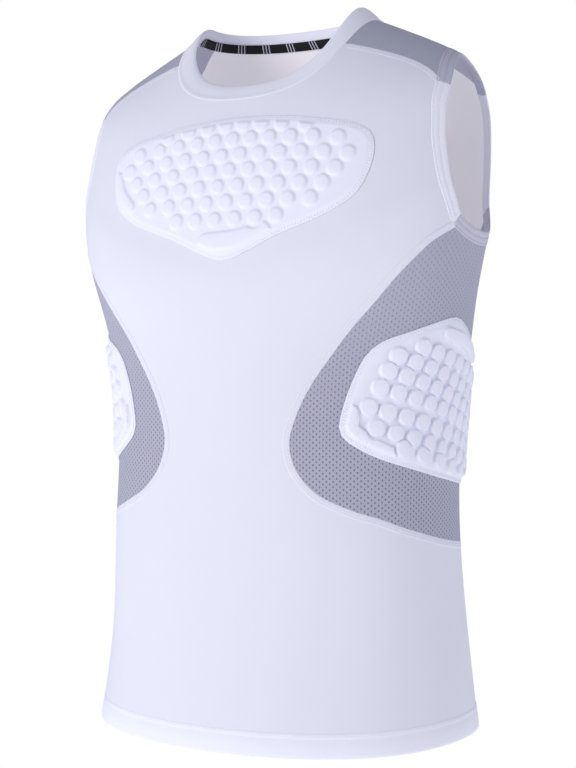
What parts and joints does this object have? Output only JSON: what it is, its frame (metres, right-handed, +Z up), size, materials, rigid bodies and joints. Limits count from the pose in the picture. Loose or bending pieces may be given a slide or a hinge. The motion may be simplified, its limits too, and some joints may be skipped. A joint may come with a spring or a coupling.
{
  "type": "padded compression shirt",
  "caption": "Sleeveless close-fitting shirt, filled out and hollow, with a domed pad on the chest and on each side, mesh side panels and yokes, and a crew collar.",
  "frame": {"origin": "between the shoulders, at the height of the neck seam on the shoulder line, where the wearer's shoulders hold the garment up", "axes": "+Z up towards the neck, -Y out of the chest, +X towards the wearer's left"},
  "size_m": [0.3988, 0.2686, 0.6706],
  "materials": {
    "white_jersey": "smooth knitted jersey",
    "grey_mesh": "open knitted mesh",
    "white_pad": "moulded foam under jersey",
    "black_tape": "woven tape"
  },
  "bodies": {
    "root": {"front": "white_jersey", "back": "white_jersey", "collar": "white_jersey", "side_panel_left": "grey_mesh", "side_panel_right": "grey_mesh", "yoke_left": "grey_mesh", "yoke_right": "grey_mesh", "chest_pad": "white_pad", "side_pad_left": "white_pad", "side_pad_right": "white_pad", "neck_tape": "black_tape"}
  },
  "joints": []
}
